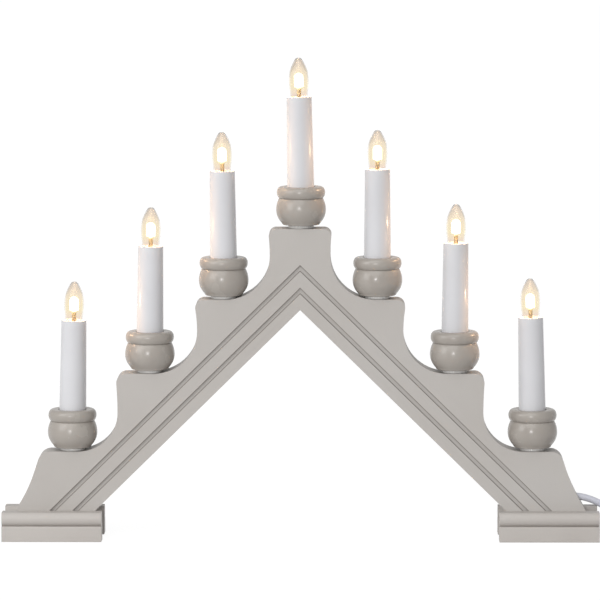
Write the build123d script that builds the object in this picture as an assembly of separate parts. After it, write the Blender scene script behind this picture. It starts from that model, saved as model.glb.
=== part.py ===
"""Stepped candle arch of painted wood with seven electric candles, in millimetres.

The origin is on the ground under the middle of the arch. X runs along the arch to the
right, Y runs to the back and Z runs up. The front face of the board looks along -Y.
"""
from build123d import *
import math
import os

# Board: four levels a side, from the top one down to the lowest one
board_thickness = 20.0
board_bottom = 3.0
candle_pitch = 55.3
top_level = 224.9
upper_level = 174.05
lower_level = 120.5
end_level = 63.9
top_scoop_radius = 31.5
upper_scoop_radius = 31.0
lower_scoop_radius = 28.5
top_toe_gap = 2.1
upper_toe_gap = 5.6
lower_toe_gap = 5.85
top_flare_radius = 140.0
upper_flare_radius = 100.0
lower_flare_radius = 280.0
top_corner_radius = 5.1
upper_corner_radius = 6.0
lower_corner_radius = 6.8
end_flat_past_candle = 14.7
end_corner_radius = 9.0
end_side_angle = 18.0
end_side_bottom = 50.0
end_flare_radius = 115.0
end_flare_angle = 30.0
end_foot_top = 20.9
inner_apex = 166.5
inner_foot_past_candle = 0.43

# Grooves on the front, wire channel and bores in the board
groove_width = 2.9
groove_depth = 1.3
inner_groove_offset = 9.9
outer_groove_offset = 21.5
channel_width = 8.0
channel_depth = 11.5
channel_offset = 15.0
channel_past_candle = 4.5
wire_bore_radius = 3.5
seat_radius = 9.7
seat_height = 5.0
pocket_before_candle = 9.0
pocket_before_cord = 5.0
pocket_height = 8.0

# Foot rails
rail_length = 71.9
foot_past_candle = 49.1
rail_depth = 12.5
plinth_height = 11.2
rail_height = 20.9
bead_flat_depth = 9.4
bead_depth = 11.9
rail_arris = 0.6

# Rail screws, driven from the back
screw_radius = 1.75
screw_length = 40.0
screw_head_radius = 3.5
screw_head_height = 2.2
screw_point = 3.0
screw_z = 7.4
outer_screw_inset = 18.0
inner_screw_inset = 39.0
screw_fit = 0.05
recess_width = 0.8
recess_length = 4.0
recess_depth = 1.2

# Candle places: shares of the pitch by which each cup stands off its even place, and
# the share of the cup's bore by which each sleeve is pulled up, with its lean in degrees
cup_shift_shares = [0.0217, 0.038, 0.0045, 0.0108, 0.0018, 0.009, 0.0244]
sleeve_lift_shares = [0.267, 0.017, 0.058, 0.25, 0.167, 0.2, 0.45]
sleeve_leans = [1.2, 0.8, -0.6, -0.95, 0.0, 0.45, -1.25]

# Washer and cup
washer_radius = 9.2
washer_height = 2.4
cup_base_radius = 13.6
cup_base_round = 1.2
cup_ball_radius = 17.87
cup_equator = 10.7
cup_neck_height = 19.15
cup_neck_radius = 15.65
cup_collar_radius = 17.35
cup_collar_height = 23.55
cup_top_radius = 14.35
cup_height = 27.4
cup_bore_radius = 10.1
cup_bore_depth = 12.0

# Stem tube and nut
stem_radius = 5.0
stem_bore = 4.0
stem_seat_depth = 18.0
stem_above_floor = 6.0
stem_fit = 0.1
nut_across_flats = 13.0
nut_height = 4.0

# Sleeve
sleeve_length = 73.4
sleeve_foot_radius = 9.82
sleeve_rim_radius = 9.0
sleeve_rim_round = 0.8
rim_round_share = 0.75
sleeve_mouth_bore = 7.9
sleeve_mouth_depth = 22.4
sleeve_bore = 7.0
sleeve_foot_bore = 8.5
sleeve_foot_depth = 10.0

# Lampholder and its contacts, with depths below the sleeve's rim
holder_radius = 7.7
holder_top = 4.4
holder_bore = 5.35
holder_bore_depth = 13.0
contact_bore = 2.6
contact_floor = 14.8
chamber_radius = 5.5
chamber_top = 17.4
shell_radius = 5.3
shell_bore = 4.83
shell_top = 4.9
shell_bottom = 12.6
disc_radius = 2.5
disc_height = 1.0

# Bulb: glass above and below the sleeve's rim, cap, and the lit body on its stem
glass_height = 27.9
glass_neck_depth = 3.6
glass_radius = 7.02
glass_wall = 0.8
glass_belly_height = 12.1
glass_rim_radius = 6.2
glass_neck_radius = 4.7
glass_crown_shares = (0.27, 0.975)
glass_shoulder_shares = (0.484, 0.896)
glass_upper_shares = (0.862, 0.692)
glass_lower_shares = (0.955, 0.23)
cap_radius = 4.75
cap_root_radius = 4.4
cap_thread_pitch = 1.81
cap_skirt_bottom = 11.6
cap_cone_bottom = 13.0
cap_cone_radius = 2.0
cap_tip_radius = 1.5
cap_tip_gap = 0.05
led_stem_radius = 1.5
led_body_radius = 3.65
led_body_bottom = 6.4
led_body_top = 17.2

# Wires and staples
wire_radius = 1.0
wire_spread = 1.7
wire_top_gap = 0.15
wire_bend = 2.3
return_wire_y = 6.0
core_spread = 1.2
feed_straight = 8.0
return_straight = 5.0
staple_width = 11.0
staple_wire_width = 1.2
staple_wire_thickness = 0.8
staple_depth = 6.0
staple_fit = 0.05

# Cord: route of the free stretch, chosen by hand, and the coil that takes the rest
cord_diameter = 5.0
cord_foot_end = 215.0
cord_route = [
    (183.0, 12.6, 28.8),
    (197.0, 12.6, 28.8),
    (208.0, 12.7, 26.9),
    (217.2, 13.2, 22.9),
    (225.2, 14.3, 17.2),
    (232.4, 15.8, 11.0),
    (240.4, 17.7, 5.6),
    (249.4, 19.5, 2.9),
    (257.0, 20.6, 2.55),
    (262.5, 20.6, 2.55),
]
corner_share = 0.45
coil_inner_radius = 22.5
coil_turn_pitch = 6.6
coil_layer_pitch = 5.7
coil_layers = 4
coil_halves_per_layer = 3
coil_tail_radius = 25.0
coil_plug_gap = 0.3

# Cord grip, nailed to the back of the board
grip_width = 7.0
grip_wall = 1.3
grip_fit = 0.1
grip_block_height = 6.5
grip_block_depth = 5.4
nail_radius = 1.0
nail_length = 14.0
nail_head_radius = 2.1
nail_head_height = 0.9
nail_fit = 0.05

# Plug
plug_length = 36.0
plug_width = 35.3
plug_thickness = 13.7
plug_tail_width = 11.0
plug_tail_length = 9.0
plug_front_length = 12.0
plug_corner_round = 2.5
plug_edge_round = 2.0
pin_radius = 2.0
pin_length = 19.0
pin_spacing = 18.6
pin_root = 8.0
pin_root_radius = 1.8
pin_round = 1.2
pin_fit = 0.05

# One overrun serves every cut
overrun = 2.0

half_thickness = board_thickness / 2
step_levels = [top_level, upper_level, lower_level, end_level]
scoop_radii = [top_scoop_radius, upper_scoop_radius, lower_scoop_radius]
toe_gaps = [top_toe_gap, upper_toe_gap, lower_toe_gap]
flare_radii = [top_flare_radius, upper_flare_radius, lower_flare_radius]
corner_radii = [top_corner_radius, upper_corner_radius, lower_corner_radius]
foot_end = 3 * candle_pitch + foot_past_candle
inner_foot = 3 * candle_pitch + inner_foot_past_candle
inner_slope = math.atan2(inner_apex - board_bottom, inner_foot)
candle_steps = [3, 2, 1, 0, 1, 2, 3]
cup_places = [(i - 3 + cup_shift_shares[i]) * candle_pitch for i in range(7)]
cup_levels = [step_levels[step] for step in candle_steps]
cup_floors = [level + washer_height + cup_height - cup_bore_depth for level in cup_levels]
sleeve_lifts = [share * cup_bore_depth for share in sleeve_lift_shares]
cord_radius = cord_diameter / 2
cord_points = [(x + foot_end - cord_foot_end, y, z) for x, y, z in cord_route]


def chevron_z(x, offset):
    """Height of the line that runs at a square distance outside the inner edge."""
    return inner_apex + offset / math.cos(inner_slope) - abs(x) * math.tan(inner_slope)


def arc_about(centre, start, end):
    """Short arc from start to end about a centre, all in the board's plane."""
    radius = math.dist(centre, start)
    along = (start[0] + end[0] - 2 * centre[0], start[1] + end[1] - 2 * centre[1])
    size = math.hypot(along[0], along[1])
    middle = (centre[0] + radius * along[0] / size, centre[1] + radius * along[1] / size)
    return ThreePointArc(start, middle, end)


def turned(outline):
    """Solid of revolution about Z from an outline drawn as radius and height."""
    return revolve(Plane.XZ * make_face(outline), Axis.Z)


def pipe(outer, inner, bottom, top):
    """Tube about Z between two heights."""
    height = top - bottom
    body = Cylinder(outer, height) - Cylinder(inner, height + overrun)
    return Pos(0, 0, (bottom + top) / 2) * body


def rod(radius, bottom, top):
    """Cylinder about Z between two heights."""
    return Pos(0, 0, (bottom + top) / 2) * Cylinder(radius, top - bottom)


def drilled(radius, start, end):
    """Cylinder about Y between two places, for holes and screws along the depth."""
    return Pos(0, (start + end) / 2, 0) * Rot(90, 0, 0) * Cylinder(radius, abs(end - start))


def slab(sketch, front, back):
    """Sketch of the board's plane made solid from one depth to another."""
    return Pos(0, back, 0) * extrude(Plane.XZ * sketch, back - front)


def step_side(step):
    """Edges of one step's end: rounded lip, slow flare to the waist, scoop to the next."""
    level = step_levels[step]
    scoop = scoop_radii[step]
    flare = flare_radii[step]
    corner = corner_radii[step]
    toe = (step + 1) * candle_pitch - toe_gaps[step]
    waist = toe - scoop
    waist_z = step_levels[step + 1] + scoop
    corner_z = level - corner
    reach = math.sqrt((flare + corner) ** 2 - (corner_z - waist_z) ** 2)
    corner_x = waist + flare - reach
    share = corner / (flare + corner)
    meet = (corner_x + share * reach, corner_z + share * (waist_z - corner_z))
    edges = [arc_about((corner_x, corner_z), (corner_x, level), meet)]
    edges.append(arc_about((waist + flare, waist_z), meet, (waist, waist_z)))
    edges.append(arc_about((toe, waist_z), (waist, waist_z), (toe, waist_z - scoop)))
    return edges, corner_x, toe


def end_side():
    """Edges of the arch's outer end, from the lowest level down to the board's bottom."""
    level = step_levels[3]
    side = math.radians(end_side_angle)
    foot = math.radians(end_flare_angle)
    centre_x = 3 * candle_pitch + end_flat_past_candle
    centre_z = level - end_corner_radius
    start = (centre_x, level)
    meet_x = centre_x + end_corner_radius * math.cos(side)
    meet_z = centre_z + end_corner_radius * math.sin(side)
    low_x = meet_x + (meet_z - end_side_bottom) * math.tan(side)
    low = (low_x, end_side_bottom)
    flare_x = low_x + end_flare_radius * (math.cos(side) - math.cos(foot))
    flare_z = end_side_bottom - end_flare_radius * (math.sin(foot) - math.sin(side))
    flare_centre_x = low_x + end_flare_radius * math.cos(side)
    flare_centre_z = end_side_bottom + end_flare_radius * math.sin(side)
    foot_x = flare_x + (flare_z - end_foot_top) * math.tan(foot)
    edges = [arc_about((centre_x, centre_z), start, (meet_x, meet_z))]
    edges.append(Line((meet_x, meet_z), low))
    edges.append(arc_about((flare_centre_x, flare_centre_z), low, (flare_x, flare_z)))
    edges.append(Line((flare_x, flare_z), (foot_x, end_foot_top)))
    edges.append(Line((foot_x, end_foot_top), (foot_x, board_bottom)))
    return edges, centre_x, foot_x


def board_outline():
    """Closed outline of the right half of the board, as a face."""
    edges = []
    reached = 0
    for step in range(3):
        side, corner_x, toe = step_side(step)
        edges.append(Line((reached, step_levels[step]), (corner_x, step_levels[step])))
        edges += side
        reached = toe
    side, centre_x, foot_x = end_side()
    edges.append(Line((reached, step_levels[3]), (centre_x, step_levels[3])))
    edges += side
    edges.append(Line((foot_x, board_bottom), (inner_foot, board_bottom)))
    edges.append(Line((inner_foot, board_bottom), (0, inner_apex)))
    edges.append(Line((0, inner_apex), (0, step_levels[0])))
    return make_face(edges)


def chevron(offset, width, end_x):
    """Band of a width along both legs, at a square distance outside the inner edge."""
    low = offset - width / 2
    high = offset + width / 2
    points = [(-end_x, chevron_z(end_x, low)), (0, chevron_z(0, low)), (end_x, chevron_z(end_x, low))]
    points += [(end_x, chevron_z(end_x, high)), (0, chevron_z(0, high)), (-end_x, chevron_z(end_x, high))]
    return make_face(Polyline(points, close=True))


def board_grooves():
    """The two chevron grooves of the front face."""
    groove_floor = groove_depth - half_thickness
    cuts = []
    for offset in (inner_groove_offset, outer_groove_offset):
        band = chevron(offset, groove_width, foot_end)
        cuts.append(slab(band, -half_thickness - overrun, groove_floor))
    return cuts


def board_channel():
    """The wire channel of the back face and the pocket where the wires come out."""
    floor = half_thickness - channel_depth
    channel_end = 3 * candle_pitch + channel_past_candle
    channel = slab(chevron(channel_offset, channel_width, channel_end), floor, half_thickness + overrun)
    pocket_z = cord_points[0][2]
    left = cup_places[6] - pocket_before_candle
    right = cord_points[0][0] - pocket_before_cord
    size = (right - left, channel_depth + overrun, pocket_height)
    middle = ((left + right) / 2, floor + size[1] / 2, pocket_z)
    return [channel, Pos(*middle) * Box(*size)]


def board_bores():
    """Flat seat, stem bore and wire bore under each candle."""
    cuts = []
    for x, level in zip(cup_places, cup_levels):
        bore_floor = level - stem_seat_depth
        cuts.append(Pos(x, 0, 0) * rod(seat_radius, level, level + seat_height))
        cuts.append(Pos(x, 0, 0) * rod(stem_radius + stem_fit, bore_floor, level + overrun))
        cuts.append(Pos(x, 0, 0) * rod(wire_bore_radius, chevron_z(x, channel_offset), bore_floor + overrun))
    return cuts


def screw_places():
    """The X places of the rail screws."""
    places = []
    for side in (-1, 1):
        for inset in (outer_screw_inset, inner_screw_inset):
            places.append(side * (foot_end - inset))
    return places


def staple_frames():
    """One frame for each staple, half way between two candles and square to the channel."""
    frames = []
    for left, right in zip(cup_places[:-1], cup_places[1:]):
        x = (left + right) / 2
        tilt = math.degrees(inner_slope) if x > 0 else -math.degrees(inner_slope)
        frames.append(Pos(x, half_thickness, chevron_z(x, channel_offset)) * Rot(0, tilt, 0))
    return frames


def staple_legs(fit):
    """The two legs of a staple, or the slots for them with a fit."""
    reach = staple_width / 2 - staple_wire_thickness / 2
    size = (staple_wire_width + 2 * fit, staple_depth + fit, staple_wire_thickness + 2 * fit)
    legs = [Pos(0, -size[1] / 2, side * reach) * Box(*size) for side in (-1, 1)]
    return legs


def arch_board():
    """The board with its grooves, channel, bores, screw holes and staple slots."""
    half = board_outline()
    face = half + mirror(half, about=Plane.YZ)
    board = slab(face, -half_thickness, half_thickness)
    cuts = board_grooves() + board_channel() + board_bores()
    for x in screw_places():
        hole = drilled(screw_radius + screw_fit, -half_thickness - overrun, half_thickness + overrun)
        cuts.append(Pos(x, 0, screw_z) * hole)
    for frame in staple_frames():
        cuts += [frame * leg for leg in staple_legs(staple_fit)]
    cuts.append(grip_nail_place() * drilled(nail_radius + nail_fit, 0, -nail_length - nail_fit))
    return board - cuts


def rail_section():
    """Section of a foot rail: Y is the distance from the board's face, Z the height."""
    bead_back = (bead_depth, (plinth_height + rail_height) / 2)
    points = [(0, rail_height), (0, 0), (rail_depth, 0), (rail_depth, plinth_height)]
    lines = Polyline(points + [(bead_flat_depth, plinth_height)])
    bead = ThreePointArc((bead_flat_depth, plinth_height), bead_back, (bead_flat_depth, rail_height))
    top = Line((bead_flat_depth, rail_height), (0, rail_height))
    return make_face([lines, bead, top])


def foot_rail(side, front):
    """One foot rail, side -1 or 1 along X, with its screw holes."""
    solid = extrude(Plane.YZ * rail_section(), rail_length)
    edge = solid.edges().filter_by(Axis.X).filter_by(lambda e: e.center().Y > rail_depth - rail_arris)
    solid = fillet(edge, rail_arris)
    solid = Pos(foot_end - rail_length, half_thickness, 0) * solid
    if front:
        solid = mirror(solid, about=Plane.XZ)
    if side < 0:
        solid = mirror(solid, about=Plane.YZ)
    cuts = []
    for x in screw_places():
        if x * side > 0:
            cuts.append(Pos(x, 0, screw_z) * screw_body(screw_fit))
    return solid - cuts


def screw_body(fit):
    """A rail screw, or the space for it with a fit, its head flush with the back rail."""
    back = half_thickness + rail_depth
    tip = back - screw_length - fit
    shank = drilled(screw_radius + fit, back, tip + screw_point)
    point = Cone(screw_radius + fit, screw_fit + fit, screw_point)
    point = Pos(0, tip + screw_point / 2, 0) * Rot(90, 0, 0) * point
    head = Cone(screw_head_radius + fit, screw_radius + fit, screw_head_height)
    head = Pos(0, back - screw_head_height / 2, 0) * Rot(90, 0, 0) * head
    return shank + point + head


def rail_screws():
    """The four rail screws with their cross recesses."""
    back = half_thickness + rail_depth
    arm = Box(recess_length, 2 * recess_depth, recess_width)
    cross = arm + Rot(0, 90, 0) * arm
    screw = screw_body(0) - Pos(0, back, 0) * cross
    return [Pos(x, 0, screw_z) * screw for x in screw_places()]


def candle_cup():
    """Turned cup, its base at zero: a ball, a neck and a rounded collar round the bore."""
    hole = stem_radius + stem_fit
    floor = cup_height - cup_bore_depth
    equator = (cup_ball_radius, cup_equator)
    neck = (cup_neck_radius, cup_neck_height)
    collar = (cup_collar_radius, cup_collar_height)
    top = (cup_top_radius, cup_height)
    edges = [Line((hole, 0), (cup_base_radius, 0))]
    edges.append(TangentArc(equator, (cup_base_radius, 0), tangent=(0, -1)))
    edges.append(TangentArc(equator, neck, tangent=(0, 1)))
    edges.append(TangentArc(collar, neck, tangent=(0, -1)))
    edges.append(TangentArc(collar, top, tangent=(0, 1)))
    bore = [top, (cup_bore_radius, cup_height), (cup_bore_radius, floor), (hole, floor), (hole, 0)]
    edges.append(Polyline(bore))
    cup = turned(edges)
    rims = cup.edges().filter_by(GeomType.CIRCLE).filter_by(
        lambda e: e.center().Z < cup_base_round and e.radius > cup_base_radius - cup_base_round)
    return fillet(rims, cup_base_round)


def candle_sleeve():
    """White sleeve, its foot at zero, with a mouth bore that ends on the holder's seat."""
    seat = sleeve_length - sleeve_mouth_depth
    points = [(sleeve_foot_bore, 0), (sleeve_foot_radius, 0), (sleeve_rim_radius, sleeve_length)]
    points += [(sleeve_mouth_bore, sleeve_length), (sleeve_mouth_bore, seat), (sleeve_bore, seat)]
    points += [(sleeve_bore, sleeve_foot_depth), (sleeve_foot_bore, sleeve_foot_depth)]
    face = make_face(Polyline(points, close=True))
    rim = face.vertices().sort_by(Axis.Y)[-2:].sort_by(Axis.X)[-1]
    face = fillet(rim, min(sleeve_rim_round, (sleeve_rim_radius - sleeve_mouth_bore) * rim_round_share))
    return revolve(Plane.XZ * face, Axis.Z)


def lampholder():
    """Lampholder below the sleeve's rim at zero: thread bore, contact bore, wire chamber."""
    body = rod(holder_radius, -sleeve_mouth_depth, -holder_top)
    bore = rod(holder_bore, -holder_bore_depth, -holder_top + overrun)
    contact = rod(contact_bore, -contact_floor, -holder_bore_depth + overrun)
    chamber = rod(chamber_radius, -sleeve_mouth_depth - overrun, -chamber_top)
    return body - [bore, contact, chamber]


def contacts():
    """Thread shell and centre disc of one lampholder."""
    shell = pipe(shell_radius, shell_bore, -shell_bottom, -shell_top)
    disc = rod(disc_radius, -contact_floor, disc_height - contact_floor)
    return [shell, disc]


def flame(wall):
    """Edges of the flame-shaped envelope, drawn in by a wall for its inner face."""
    inward = 1 - wall / glass_radius
    down = 1 - wall / (glass_height + glass_neck_depth)
    places = [(0, glass_height)]
    for radius_share, height_share in (glass_crown_shares, glass_shoulder_shares, glass_upper_shares):
        places.append((radius_share * glass_radius, height_share * glass_height))
    places.append((glass_radius, glass_belly_height))
    places.append((glass_lower_shares[0] * glass_radius, glass_lower_shares[1] * glass_height))
    places += [(glass_rim_radius, 0), (glass_neck_radius, -glass_neck_depth)]
    points = [(x * inward, (z + glass_neck_depth) * down - glass_neck_depth) for x, z in places]
    edges = [ThreePointArc(*points[i:i + 3]) for i in (0, 2, 4)]
    edges.append(Line(*points[6:]))
    return edges, points[0], points[-1]


def bulb_glass():
    """Thin glass envelope, open at the neck that stands on the cap."""
    outer, outer_tip, outer_neck = flame(0)
    inner, inner_tip, inner_neck = flame(glass_wall)
    return turned(outer + inner + [Line(outer_tip, inner_tip), Line(outer_neck, inner_neck)])


def bulb_cap():
    """Screw cap: a skirt whose thread is drawn as rings, a cone and the centre tip."""
    turns = int((cap_skirt_bottom - glass_neck_depth) / cap_thread_pitch)
    points = [(0, -glass_neck_depth), (cap_radius, -glass_neck_depth)]
    z = -glass_neck_depth
    for _ in range(turns):
        points.append((cap_root_radius, z - cap_thread_pitch / 2))
        points.append((cap_radius, z - cap_thread_pitch))
        z -= cap_thread_pitch
    tip = cap_tip_gap + disc_height - contact_floor
    points += [(cap_root_radius, -cap_skirt_bottom), (cap_cone_radius, -cap_cone_bottom)]
    points += [(cap_tip_radius, -cap_cone_bottom), (cap_tip_radius, tip), (0, tip)]
    return turned(Polyline(points, close=True))


def bulb_led():
    """Lit body with a domed top on its stem."""
    stem = rod(led_stem_radius, -glass_neck_depth, led_body_bottom)
    dome = led_body_top - led_body_radius
    body = rod(led_body_radius, led_body_bottom, dome) + Pos(0, 0, dome) * Sphere(led_body_radius)
    return stem + body


def lamp_frame(i):
    """Frame at the middle of a sleeve's rim, along its lean."""
    return sleeve_frame(i) * Pos(0, 0, sleeve_length)


def sleeve_frame(i):
    """Frame at the foot of a sleeve, which leans about the middle of the cup's floor."""
    return Pos(cup_places[i], 0, cup_floors[i]) * Rot(0, sleeve_leans[i], 0) * Pos(0, 0, sleeve_lifts[i])


def stem_tubes():
    """One tube for each candle, without its thread, from the board to above the cup's floor."""
    tubes = []
    for x, level, floor in zip(cup_places, cup_levels, cup_floors):
        tube = pipe(stem_radius, stem_bore, level - stem_seat_depth, floor + stem_above_floor)
        tubes.append(Pos(x, 0, 0) * tube)
    return tubes


def stem_nuts():
    """One hexagon nut on each cup's floor."""
    corner = nut_across_flats / 2 / math.cos(math.pi / 6)
    hole = rod(stem_radius + stem_fit, -overrun, nut_height + overrun)
    nut = extrude(RegularPolygon(corner, 6), nut_height) - hole
    return [Pos(x, 0, floor) * nut for x, floor in zip(cup_places, cup_floors)]


def cup_washers():
    """One washer under each cup."""
    washer = pipe(washer_radius, stem_radius + stem_fit, 0, washer_height)
    return [Pos(x, 0, level) * washer for x, level in zip(cup_places, cup_levels)]


def wire_top(i):
    """Height where a candle's wires end, just below the ceiling of the wire chamber."""
    lean = math.radians(sleeve_leans[i])
    along = sleeve_lifts[i] + sleeve_length - chamber_top
    edge = wire_spread + wire_radius
    return cup_floors[i] + along * math.cos(lean) - edge * abs(math.sin(lean)) - wire_top_gap


def wire(points, radii):
    """Round wire along a route with rounded corners."""
    route = FilletPolyline(*points, radius=radii)
    section = Plane(origin=route @ 0, z_dir=route % 0) * Circle(wire_radius)
    return sweep(section, path=route)


def link_wire(i):
    """Wire from one candle down to the channel, along it and up to the next candle."""
    left = cup_places[i] + wire_spread
    right = cup_places[i + 1] - wire_spread
    points = [(left, 0, wire_top(i)), (left, 0, chevron_z(left, channel_offset))]
    points += [(right, 0, chevron_z(right, channel_offset)), (right, 0, wire_top(i + 1))]
    return wire(points, [wire_bend, wire_bend])


def feed_wire():
    """Wire from the last candle out of the pocket to the cord's upper core."""
    start = cup_places[6] + wire_spread
    end_x, end_y, end_z = cord_points[0]
    core_z = end_z + core_spread
    turn_x = end_x - feed_straight
    points = [(start, 0, wire_top(6)), (start, 0, core_z), (turn_x, end_y, core_z), (end_x, end_y, core_z)]
    return wire(points, [wire_bend, wire_bend])


def return_wire():
    """Wire from the first candle back along the whole channel to the cord's lower core."""
    start = cup_places[0] - wire_spread
    end_x, end_y, end_z = cord_points[0]
    core_z = end_z - core_spread
    start_z = chevron_z(start, channel_offset)
    leave_x = (chevron_z(0, channel_offset) - core_z) / math.tan(inner_slope)
    turn_x = end_x - return_straight
    bend_x = turn_x - (end_y - return_wire_y)
    points = [(start, 0, wire_top(0)), (start, 0, start_z), (start, return_wire_y, start_z)]
    points += [(0, return_wire_y, chevron_z(0, channel_offset)), (leave_x, return_wire_y, core_z)]
    points += [(bend_x, return_wire_y, core_z), (turn_x, end_y, core_z), (end_x, end_y, core_z)]
    return wire(points, [wire_bend] * 6)


def series_wires():
    """All wires: six links, the feed and the return."""
    return [link_wire(i) for i in range(6)] + [feed_wire(), return_wire()]


def wire_staples():
    """One staple over the channel between each two candles."""
    crown = Box(staple_wire_width, staple_wire_thickness, staple_width)
    staple = Pos(0, staple_wire_thickness / 2, 0) * crown + staple_legs(0)
    return [frame * staple for frame in staple_frames()]


def grip_middle():
    """Middle of the cord inside the grip."""
    start, end = cord_points[0], cord_points[1]
    return ((start[0] + end[0]) / 2, start[1], start[2])


def cord_grip():
    """Grip that hooks over the cord, with its nail block above."""
    x, y, z = grip_middle()
    inner = cord_radius + grip_fit
    outer = inner + grip_wall
    foot = y - half_thickness
    hook = Circle(outer) + Pos(-foot / 2, 0) * Rectangle(foot, 2 * outer)
    block_z = inner + grip_block_height / 2
    block = Pos(grip_block_depth / 2 - foot, block_z) * Rectangle(grip_block_depth, grip_block_height)
    space = Circle(inner) + Pos(-foot / 2, 0) * Rectangle(foot, 2 * inner)
    below = Pos(-foot - outer, 0) * Rectangle(2 * outer, 4 * outer)
    section = hook + block - space - below
    solid = extrude(Plane.YZ * section, grip_width / 2, both=True)
    nail = grip_nail_place() * drilled(nail_radius + nail_fit, overrun, -overrun - nail_length)
    return Pos(x, y, z) * solid - nail


def grip_nail_place():
    """Where the nail's head sits on the grip's block."""
    x, y, z = grip_middle()
    block_z = z + cord_radius + grip_fit + (grip_wall + grip_block_height) / 2
    return Pos(x, half_thickness + grip_block_depth, block_z)


def cord_grip_nail():
    """Round nail with a flat head."""
    head = drilled(nail_head_radius, 0, nail_head_height)
    return grip_nail_place() * (drilled(nail_radius, 0, -nail_length) + head)


def route_radii(points):
    """Bend radius at each corner of a cord's route, as large as its two runs allow."""
    radii = []
    for before, corner, after in zip(points[:-2], points[1:-1], points[2:]):
        arrive = Vector(*corner) - Vector(*before)
        leave = Vector(*after) - Vector(*corner)
        half_turn = math.radians(arrive.get_angle(leave)) / 2
        shorter = min(arrive.length, leave.length)
        radii.append(corner_share * shorter / math.tan(half_turn))
    return radii


def power_cord():
    """Free stretch of the cord, from the grip down to the coil."""
    radii = route_radii(cord_points)
    route = FilletPolyline(*cord_points, radius=radii)
    section = Plane(origin=route @ 0, z_dir=route % 0) * Circle(cord_radius)
    tube = sweep(section, path=route)
    print("cord radii", [round(r, 1) for r in radii])
    print("cord volume share", round(tube.volume / (math.pi * cord_radius ** 2 * route.length), 4))
    return tube


def coil_centre():
    """Middle of the coil, whose straight lead starts where the free stretch ends."""
    x, y, _ = cord_points[-1]
    return (x + cord_diameter, y - coil_inner_radius - coil_turn_pitch * 5 / 4)


def coil_joints():
    """Points and directions where the coil's quarter and half turns meet, seen from its middle."""
    z = cord_points[-1][2]
    radius = coil_inner_radius + coil_turn_pitch * 5 / 4
    joints = [((0, radius, z), (1, 0, 0))]
    side = 1
    radius -= coil_turn_pitch / 4
    joints.append(((radius, 0, z), (0, -1, 0)))
    for layer in range(coil_layers):
        inward = -1 if layer % 2 == 0 else 1
        halves = coil_halves_per_layer - 1 if layer == 0 else coil_halves_per_layer
        for _ in range(halves):
            side = -side
            radius += inward * coil_turn_pitch / 2
            joints.append(((side * radius, 0, z), (0, -side, 0)))
        side = -side
        z += coil_layer_pitch
        joints.append(((side * radius, 0, z), (0, -side, 0)))
    return joints


def plug_tail():
    """Middle of the plug's back face, seen from the coil's middle."""
    last = coil_joints()[-1][0]
    coil_top = last[2] - coil_layer_pitch + cord_radius
    tail_x = last[0] + coil_tail_radius + cord_diameter
    return (tail_x, coil_tail_radius, coil_top + coil_plug_gap + plug_thickness / 2)


def biarc(start, start_dir, end, end_dir):
    """Two arcs that leave one point and reach another in given directions."""
    p1, t1, p2, t2 = Vector(*start), Vector(*start_dir), Vector(*end), Vector(*end_dir)
    across = p2 - p1
    total = t1 + t2
    factor = 2 * (1 - t1.dot(t2))
    lean = across.dot(total)
    reach = (math.sqrt(lean ** 2 + factor * across.dot(across)) - lean) / factor
    middle = (p1 + t1 * reach + p2 - t2 * reach) * (1 / 2)
    turn = (p2 - t2 * reach) - (p1 + t1 * reach)
    return [TangentArc(p1, middle, tangent=t1), TangentArc(middle, p2, tangent=turn)]


def power_cord_coil():
    """The coil in one unbroken tube, with the end that climbs across it to the plug."""
    joints = coil_joints()
    tail_x, tail_y, tail_z = plug_tail()
    joints.append(((tail_x - cord_diameter, tail_y, tail_z), (1, 0, 0)))
    edges = []
    for (start, start_dir), (end, end_dir) in zip(joints[:-1], joints[1:]):
        edges += biarc(start, start_dir, end, end_dir)
    edges.append(Line((tail_x - cord_diameter, tail_y, tail_z), (tail_x, tail_y, tail_z)))
    lead = Line((-cord_diameter, joints[0][0][1], joints[0][0][2]), joints[0][0])
    route = Wire([lead.edge()] + [edge.edge() for edge in edges])
    section = Plane(origin=route @ 0, z_dir=route % 0) * Circle(cord_radius)
    tube = sweep(section, path=route)
    print("coil length", round(route.length, 1))
    print("coil volume share", round(tube.volume / (math.pi * cord_radius ** 2 * route.length), 4))
    print("coil least gap to itself", round(least_gap(route), 2))
    centre_x, centre_y = coil_centre()
    return Pos(centre_x, centre_y, 0) * tube


def least_gap(route):
    """Least gap of a tube to itself, measured between points along its middle line."""
    count = int(route.length / cord_radius)
    points = [tuple(route @ (i / count)) for i in range(count + 1)]
    apart = int(math.pi * cord_diameter / cord_radius)
    least = route.length
    for i in range(count + 1):
        for j in range(i + apart, count + 1):
            least = min(least, math.dist(points[i], points[j]))
    return least - cord_diameter


def plug_frame():
    """Frame at the middle of the plug's back face, with X towards the pins."""
    centre_x, centre_y = coil_centre()
    tail_x, tail_y, tail_z = plug_tail()
    return Pos(centre_x + tail_x, centre_y + tail_y, tail_z)


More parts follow.
